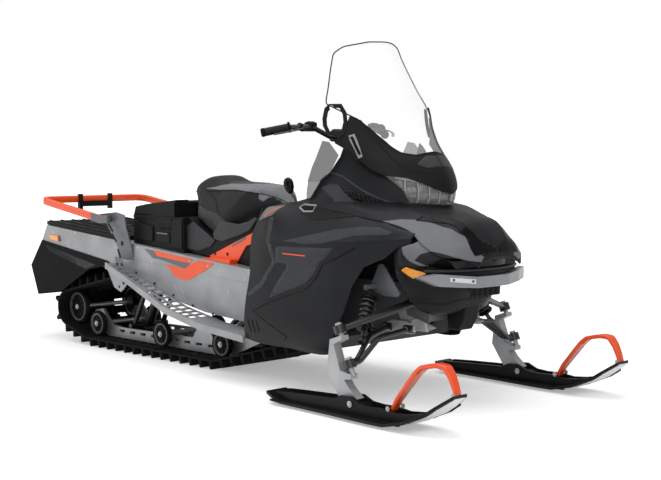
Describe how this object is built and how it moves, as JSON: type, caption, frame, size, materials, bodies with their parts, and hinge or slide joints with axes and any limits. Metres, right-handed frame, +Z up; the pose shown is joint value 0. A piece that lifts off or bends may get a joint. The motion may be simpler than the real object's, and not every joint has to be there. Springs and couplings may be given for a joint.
{
  "type": "utility snowmobile",
  "caption": "Two-seat-length utility sled on a wide track with steered skis, a tall windscreen, a rear load deck with a rail and a storage box.",
  "frame": {"origin": "on the snow under the middle of the vehicle's length and width", "axes": "+X forward, +Y to the rider's left, +Z up"},
  "size_m": [3.258, 1.23, 1.48],
  "materials": {
    "body_panel_dark": "moulded textured plastic",
    "body_panel_gray": "moulded gray plastic",
    "black_plastic": "moulded black plastic",
    "tunnel_aluminium": "rolled sheet, satin",
    "gray_casting": "cast and blasted",
    "painted_orange": "powder coat",
    "painted_gray": "powder coat",
    "painted_black": "powder coat",
    "rubber_black": "moulded rubber",
    "seat_cover": "coated seat fabric",
    "clear_screen": "clear polycarbonate",
    "lamp_lens": "clear lens",
    "red_lens": "lamp lens in black housing",
    "silver_paint": "satin silver",
    "engine_block": "cast",
    "smoked_screen": "smoked polycarbonate"
  },
  "bodies": {
    "root": {"tunnel": "tunnel_aluminium", "running_board_left": "tunnel_aluminium", "running_board_right": "tunnel_aluminium", "rear_deck": "black_plastic", "rack_rail": "painted_orange", "rack_bracket_left": "painted_gray", "rack_bracket_right": "painted_gray", "tail_lamp": "red_lens", "hitch": "painted_black", "snow_flap": "rubber_black", "storage_bin": "black_plastic", "seat": "seat_cover", "seat_base": "black_plastic", "seat_plates": "painted_orange", "console": "body_panel_dark", "hood": "body_panel_dark", "side_panel_left": "body_panel_dark", "side_panel_right": "body_panel_dark", "nose_pan": "body_panel_dark", "belly_pan": "black_plastic", "windshield": "clear_screen", "windshield_base": "black_plastic", "headlamp": "lamp_lens", "hoops": "black_plastic", "bumper": "silver_paint", "front_frame": "painted_gray", "engine": "engine_block", "control_arms_left": "painted_black", "control_arms_right": "painted_black", "shock_left": "painted_black", "shock_right": "painted_black", "skid_rails": "tunnel_aluminium", "skid_arms": "painted_black", "road_wheels": "black_plastic", "upper_wheels": "black_plastic", "track": "rubber_black", "fairing": "body_panel_dark", "wind_deflectors": "smoked_screen"},
    "handlebar": {"handlebar": "painted_black"},
    "ski_left": {"spindle_left": "gray_casting", "ski_left": "black_plastic", "ski_loop_left": "painted_orange"},
    "ski_right": {"spindle_right": "gray_casting", "ski_right": "black_plastic", "ski_loop_right": "painted_orange"},
    "storage_lid": {"storage_lid": "black_plastic"}
  },
  "joints": [
    {"name": "handlebar_turn", "type": "hinge", "parent": "root", "child": "handlebar", "pos_m": [0.702, 0, 0.735], "axis": [-0.4191, 0, 0.908], "range_deg": [-35, 35]},
    {"name": "ski_left_steer", "type": "hinge", "parent": "root", "child": "ski_left", "pos_m": [1.124, 0.514, 0.092], "axis": [-0.3939, 0, 0.9191], "range_deg": [-30, 30]},
    {"name": "ski_right_steer", "type": "hinge", "parent": "root", "child": "ski_right", "pos_m": [1.124, -0.514, 0.092], "axis": [-0.3939, 0, 0.9191], "range_deg": [-30, 30]},
    {"name": "storage_lid_hinge", "type": "hinge", "parent": "root", "child": "storage_lid", "pos_m": [-0.7263, 0, 0.70515], "axis": [0, -1, 0], "range_deg": [0, 95]}
  ],
  "couplings": [
    {"joint": "ski_left_steer", "follows": "handlebar_turn", "ratio": 0.85},
    {"joint": "ski_right_steer", "follows": "handlebar_turn", "ratio": 0.85}
  ]
}
